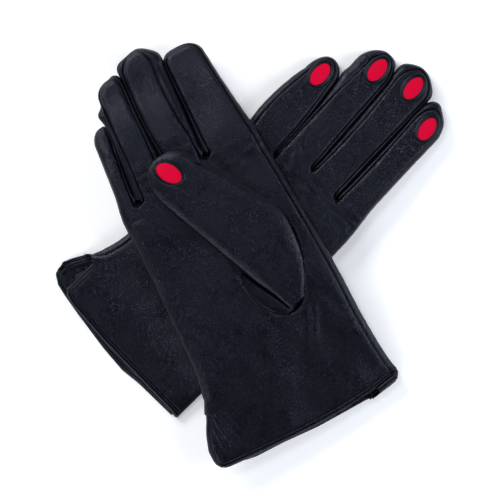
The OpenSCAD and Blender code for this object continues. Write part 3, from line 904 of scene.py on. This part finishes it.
class Thumb(Lobe):
    """A thumb's frame and heights. The right thumb lies on the palm, the left one under it."""

    def __init__(self, glove):
        self.name = f"{glove.side}_thumb"
        self.body = self.name
        joint = JOINTS[THUMB_JOINTS[glove.side]]
        lean = math.radians(THUMB_LEAN)
        across = math.cos(lean) * glove.u + math.sin(lean) * glove.v
        self.set_frame(glove, across, np.array(joint["pos_m"]))
        self.on_top = glove.side == "right"
        a, b = (self.own(end) for end in glove.node_edges(f"{self.name}_outer"))
        self.ys = np.arange(1.5, a[:, 1].max() - 1, 1.5)
        rows = [crossings(a, b, 1, y) for y in self.ys]
        self.sides = np.array([(x.min(), x.max()) for x in rows]).T
        if self.on_top:
            fitted = np.interp(self.ys, LEAF_Y, LEAF_X)
            self.sides[0] = mix(fitted, self.sides[0], smoothstep(self.ys, 44, 56))
        self.end_y = a[:, 1].max()
        self.start_y = (2.0, 2.0)
        self.tip_strip, self.apex, self.square, self.reach = 1.2, 0.41, 2.2, 16
        self.arc_y = self.end_y - self.tip_strip - self.reach

    def strip(self, side, y, share=0):
        return mix(0.6, 1.6, smoothstep(y, 2, 26))

    def roundness(self, side, y):
        return mix(3.0, 6.8, smoothstep(y, 5, 40)) if self.on_top else 2.5 + 0 * y

    def seam_x(self, side, y):
        edge = np.interp(y, self.ys, self.sides[side])
        kernel = [np.interp(y + step, self.ys, self.sides[side]) for step in (-3, -1.5, 1.5, 3)]
        edge = (edge + sum(kernel)) / 5
        return edge + (1, -1)[side] * self.strip(side, y)

    def thickness(self, y):
        return mix(2.4, 6.0, smoothstep(y, 0, 42)) if self.on_top else 3.0 + 0 * y

    def middle_z(self, uv, y):
        glove = self.glove
        if not self.on_top:
            return 1.55 + 0 * y
        palm = glove.rest_z(uv) + glove.thickness(uv)
        sunk = 2.3 * (1 - smoothstep(y, 0, 36))
        return palm + 0.75 + self.thickness(y) / 2 - sunk - 0.5 * smoothstep(y, 90, 116)

    def heights(self, uv, top):
        own = self.own(uv)
        x, y = own[..., 0], own[..., 1]
        near_left, near_right, _ = self.fields(x, y)
        profile = np.ones(x.shape)
        seam = np.zeros(x.shape)
        for side, d in ((0, near_left), (1, near_right)):
            profile = profile * rounded(d + self.strip(side, y), self.roundness(side, y))
            seam = np.maximum(seam, valley(d, 0.5) * (not top))
        half = self.thickness(y) / 2 * profile - seam
        slanted = uv @ np.array([[0.9, 0.4], [-0.4, 0.9]]) * [1, 0.4]
        swell = 0.35 * ripple(uv, 24, 31) + 0.16 * ripple(slanted, 7, 32)
        half = half + swell * smoothstep(y, 8, 40) * (top and self.on_top)
        return self.middle_z(uv, y) + (1 if top else -1) * half


def build_thumb(glove):
    thumb = Thumb(glove)
    x, y = thumb.grid(dense_ends(THUMB_COLUMNS, 0.7), dense_ends(THUMB_ROWS, 0.7))
    uv = thumb.plan(x, y)
    z = {top: thumb.heights(uv, top) for top in (True, False)}
    thickness = LEATHER if thumb.on_top else THIN_LEATHER
    pieces = []
    for top in (True, False):
        node = f"{thumb.name}_{'outer' if top == thumb.on_top else 'inner'}"
        piece = shell(f"{node}_leather", [world_grid(glove, uv, z[top], top)], LEATHER_TOP, thickness)
        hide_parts(node)
        pieces.append(piece)

    def around(grid):
        return np.concatenate([grid[:, 0], grid[-1, 1:-1], grid[::-1, -1]])

    chain_uv, chain_y = around(uv), around(y)
    side = np.where(np.arange(len(chain_y)) < len(y) + thumb.apex * uv.shape[1], 0, 1)
    chain = {"uv": chain_uv, "top": around(z[True]), "low": around(z[False]),
             "width": thumb.strip(side, chain_y), "radius": thumb.roundness(side, chain_y),
             "strength": 0 * chain_y, "half": thumb.thickness(chain_y) / 2}
    strips = shell(f"{thumb.name}_gussets_leather", [ribbon(glove, chain)], SHADE_DARKENED_STRIP_LEATHER, thickness)
    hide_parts(f"{thumb.name}_gussets")
    pieces.append(strips)
    for piece in pieces:
        if thumb.on_top:
            ends = [tuple(glove.world(thumb.plan(np.array(8.0), np.array(y_at)), thumb.hinge[2] / MM))
                    for y_at in (3.0, 42.0)]
            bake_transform(piece)
        else:
            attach(piece, thumb.body)
    return thumb


def hole_left(line, y):
    """The left side of the opening's seam at y, from the line's start down to its lowest point."""
    down = line[:line[:, 1].argmin() + 1]
    return np.interp(y, down[::-1, 1], down[::-1, 0])


def thumb_hole(thumb, uv):
    """Distance inside the seam of the thumb's opening in the palm, and the place along the thumb."""
    own = thumb.own(uv)
    line = smooth_line(HOLE, HOLE_POINTS)
    flat = own.reshape(-1, 2)
    distance = np.full(len(flat), 40.0)
    near = (np.abs(flat[:, 0] - 8) < 40) & (flat[:, 1] > -15) & (flat[:, 1] < 60)
    distance[near] = nearest(flat[near], line)
    low = line[:, 1].argmin()
    left = hole_left(line, flat[:, 1])
    right = np.interp(flat[:, 1], line[low:, 1], line[low:, 0])
    inside = (flat[:, 0] > left) & (flat[:, 0] < right) & (flat[:, 1] > line[low, 1])
    return np.where(inside, distance, -distance).reshape(own.shape[:-1]), own[..., 1]


def build_gusset(thumb):
    """The crescent between the opening's seam and the thumb, which dips under the thumb's edge."""
    glove = thumb.glove
    rows = np.linspace(0.8, 52, 64)
    left = hole_left(smooth_line(HOLE, HOLE_POINTS), rows) + 0.15
    right = np.interp(rows, thumb.ys, thumb.sides[0]) + 4.5
    s = dense_ends(26, 0.5)
    x = mix(left[:, None], right[:, None], s[None, :])
    y = rows[:, None] + 0 * x
    uv = thumb.plan(x, y)
    edge = np.interp(y, thumb.ys, thumb.sides[0])
    palm = glove.rest_z(uv) + glove.thickness(uv)
    d = x - left[:, None]
    bulge = 0.5 * rounded(d, 3.0) - 0.75
    under = 1.7 * smoothstep(x - edge, -2.6, 1.2)
    z = palm + bulge - under + 0.12 * ripple(uv, 6, 41)
    piece = shell(f"{thumb.name}_base_gusset", [world_grid(glove, uv, z)], SHADE_DARKENED_STRIP_LEATHER, THIN_LEATHER)
    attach(piece, glove.hand)


# ---------------------------------------------------------------- nails

def oval(centre, turn, length, width, rings, segments, out=0.0):
    """Pattern points of an oval's rings, from its middle outwards."""
    angle = np.linspace(0, 2 * math.pi, segments, endpoint=False)[None, :]
    r = np.asarray(rings)[:, None]
    x = (r * width / 2 + np.asarray(out)[..., None]) * np.cos(angle)
    y = (r * length / 2 + np.asarray(out)[..., None]) * np.sin(angle)
    c, s = math.cos(turn), math.sin(turn)
    return np.stack([centre[0] + c * x - s * y, centre[1] + s * x + c * y], -1)


def closed_rings(name, rings, material):
    """A closed mesh from rings of world points, joined in order and the last one to the first."""
    count, segments = rings.shape[:2]
    points = rings.reshape(-1, 3)
    index = np.arange(count * segments).reshape(count, segments)
    following = np.roll(index, -1, axis=1)
    wrap = np.roll(np.arange(count), -1)
    faces = np.stack([index, following, following[wrap], index[wrap]], -1).reshape(-1, 4)
    piece = add_piece(name, points, faces, points / MM, material)
    piece.data.validate()
    return piece


def build_nail(lobe, surface, centre, turn, size, up):
    """A red oval inset, domed a little, and the welt round its opening."""
    glove = lobe.glove
    sign = 1 if up else -1
    length, width = size
    domed = np.array(NAIL_DOME)
    face_uv = oval(centre, turn, length, width, domed, 56)
    lift = 0.06 + 0.26 * (1 - domed ** 3)
    face = glove.world(face_uv, surface(face_uv) + sign * lift[:, None])
    back = glove.world(face_uv[::-1], surface(face_uv[::-1]) - sign * 0.5)
    rings = np.concatenate([face, back])
    order = slice(None) if not up else slice(None, None, -1)
    nail = closed_rings(f"{lobe.name}_nail_inset", rings[order], NAIL)
    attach(nail, lobe.body)
    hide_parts(f"{lobe.name}_nail")
    section = np.array(WELT_SECTION)
    welt_uv = oval(centre, turn, length, width, np.ones(len(section)), 72, section[:, 0])
    middle = oval(centre, turn, length, width, np.ones(len(section)), 72)
    welt = glove.world(welt_uv, surface(middle) + sign * section[:, 1:])
    welt_piece = closed_rings(f"{lobe.name}_nail_welt", welt[order], LEATHER_WELT)
    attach(welt_piece, lobe.body)


def build_nails(glove, sheets, thumb):
    up = glove.side == "left"
    sheet = sheets[up]
    for k, finger in enumerate(glove.fingers):
        across, setback, turn = NAIL_PLACES[glove.side][k]
        centre = finger.plan(np.array(across), np.array(finger.end_y - setback))
        lean = math.atan2(-finger.along[0], finger.along[1])
        narrow = min(1, 0.6 * (finger.seams[1][1] - finger.seams[0][1]) / NAIL_SIZE[1])
        size = (NAIL_SIZE[0] * narrow ** 0.5, NAIL_SIZE[1] * narrow)
        build_nail(finger, lambda uv: sheet.heights(k, uv, finger.own(uv)), centre,
                   lean + math.radians(turn), size, up)
    centre = np.array(THUMB_NAIL_PLACE)
    build_nail(thumb, lambda uv: thumb.heights(uv, thumb.on_top), centre, math.radians(THUMB_NAIL_TURN),
               THUMB_NAIL_SIZE, thumb.on_top)


# ---------------------------------------------------------------- inside the gloves

def inner_layer(grid, gap, step, keep):
    """A thinned-out copy of a grid, gap below its surface, for what lies inside the leather."""
    rows, columns = (np.unique(np.append(np.arange(0, n, step), n - 1)) for n in grid["points"].shape[:2])
    thinned = {key: grid[key][rows][:, columns] for key in ("points", "normals", "uv")}
    thinned["points"] = thinned["points"] - thinned["normals"] * gap * MM
    return {**thinned, "keep": whole_quads(keep[rows][:, columns])}


def build_linings(glove, sheets):
    hand_grids, hem_grids = [], []
    for finger in glove.fingers:
        k = finger.k
        finger_grids = []
        for top, sheet in sheets.items():
            lane = sheet.lanes[k]
            order = slice(None) if top else slice(None, None, -1)
            y, uv = lane["own"][..., 1][:, order], lane["uv"][:, order]
            near_left, near_right, _ = finger.fields(lane["own"][..., 0], lane["own"][..., 1])
            inside = (np.minimum(near_left, near_right) > 2.0)[:, order] | (y < 0)
            free = sheet.free_edge(uv)
            hand = (free > LINING_START) & (y < -BLEND_BEFORE)
            hand_grids.append(inner_layer(lane["grid"], LEATHER + 0.15, 3, hand))
            finger_grids.append(inner_layer(lane["grid"], LEATHER + 0.15, 3, inside & (y > -BLEND_BEFORE)))
            turned_in = (free > 0.05) & (free < HEM + 0.8)
            hem_grids.append(inner_layer(lane["grid"], LEATHER + 0.03, 1, turned_in))
        lining = shell(f"{finger.name}_lining_knit", finger_grids, KNIT, 0.5)
        bend_with(lining, finger)
        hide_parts(f"{finger.name}_lining")
    lining = shell(f"{glove.side}_hand_lining_knit", hand_grids, KNIT, 0.5)
    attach(lining, glove.hand)
    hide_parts(f"{glove.side}_hand_lining")
    hem = shell(f"{glove.side}_cuff_hem_leather", hem_grids, SHADE_DARKENED_STRIP_LEATHER, 0.6)
    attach(hem, glove.hand)
    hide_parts(f"{glove.side}_cuff_hem")


for glove_side in ("left", "right"):
    a_glove = Glove(glove_side)
    the_thumb = build_thumb(a_glove)
    a_glove.thumb = the_thumb
    its_sheets = {top: Sheet(a_glove, top) for top in (True, False)}
    for its_sheet in its_sheets.values():
        build_sheet(a_glove, its_sheet)
    build_strips(a_glove, its_sheets)
    build_nails(a_glove, its_sheets, the_thumb)
    build_linings(a_glove, its_sheets)
    if the_thumb.on_top:
        build_gusset(the_thumb)


# ---------------------------------------------------------------- stage

def make_stage():
    bpy.ops.mesh.primitive_plane_add(size=6, location=(0, 0, 0))
    floor = bpy.context.object
    floor.name = "floor"
    material, _, _, shader = new_material("floor", (0.93, 0.93, 0.93), 0.85)
    shader.inputs["Emission Color"].default_value = (1, 1, 1, 1)
    shader.inputs["Emission Strength"].default_value = 0.22
    floor.data.materials.append(material)


def area_light(name, location, target, size, power, colour=(1, 1, 1)):
    data = bpy.data.lights.new(name, "AREA")
    data.shape = "RECTANGLE"
    data.size, data.size_y = size
    data.energy = power
    data.color = colour
    light = bpy.data.objects.new(name, data)
    light.location = location
    light.rotation_euler = (Vector(target) - Vector(location)).to_track_quat("-Z", "Y").to_euler()
    bpy.context.scene.collection.objects.link(light)


def make_camera():
    lens, sensor, picture_width, middle_height = 180, 36, 0.2825, 0.011
    data = bpy.data.cameras.new("camera")
    data.lens = lens
    data.sensor_width = sensor
    camera = bpy.data.objects.new("camera", data)
    height = picture_width * lens / sensor + middle_height
    camera.location = (0.00113, 0.00373, height)
    bpy.context.scene.collection.objects.link(camera)
    bpy.context.scene.camera = camera


def make_world():
    """Dim overhead and brighter towards the horizon, as under a studio ceiling between soft boxes."""
    world = bpy.data.worlds.new("studio")
    world.use_nodes = True
    nodes, links = world.node_tree.nodes, world.node_tree.links
    place = add_node(nodes, "ShaderNodeTexCoord")
    split = add_node(nodes, "ShaderNodeSeparateXYZ")
    ramp = add_node(nodes, "ShaderNodeMapRange", From_Min=0.25, From_Max=0.95, To_Min=0.55, To_Max=0.01)
    links.new(place.outputs["Generated"], split.inputs["Vector"])
    links.new(split.outputs["Z"], ramp.inputs["Value"])
    links.new(ramp.outputs["Result"], nodes["Background"].inputs["Strength"])
    nodes["Background"].inputs["Color"].default_value = (0.86, 0.91, 1, 1)
    bpy.context.scene.world = world


make_stage()
make_world()
make_camera()
area_light("key", (-0.85, 0.95, 0.75), (0, 0, 0), (0.8, 0.45), 14, (1, 0.98, 0.97))
area_light("fill", (1.1, 0.05, 0.68), (0, 0, 0), (0.45, 0.8), 9, (0.86, 0.91, 1))
area_light("sheen", (-0.38, 0.52, 1.25), (0, 0, 0), (0.25, 0.4), 4.2, (0.84, 0.9, 1))
area_light("low", (-0.55, -1.05, 0.66), (0, 0, 0), (0.8, 0.4), 7, (0.9, 0.93, 1))
bpy.context.scene.view_settings.view_transform = "Standard"
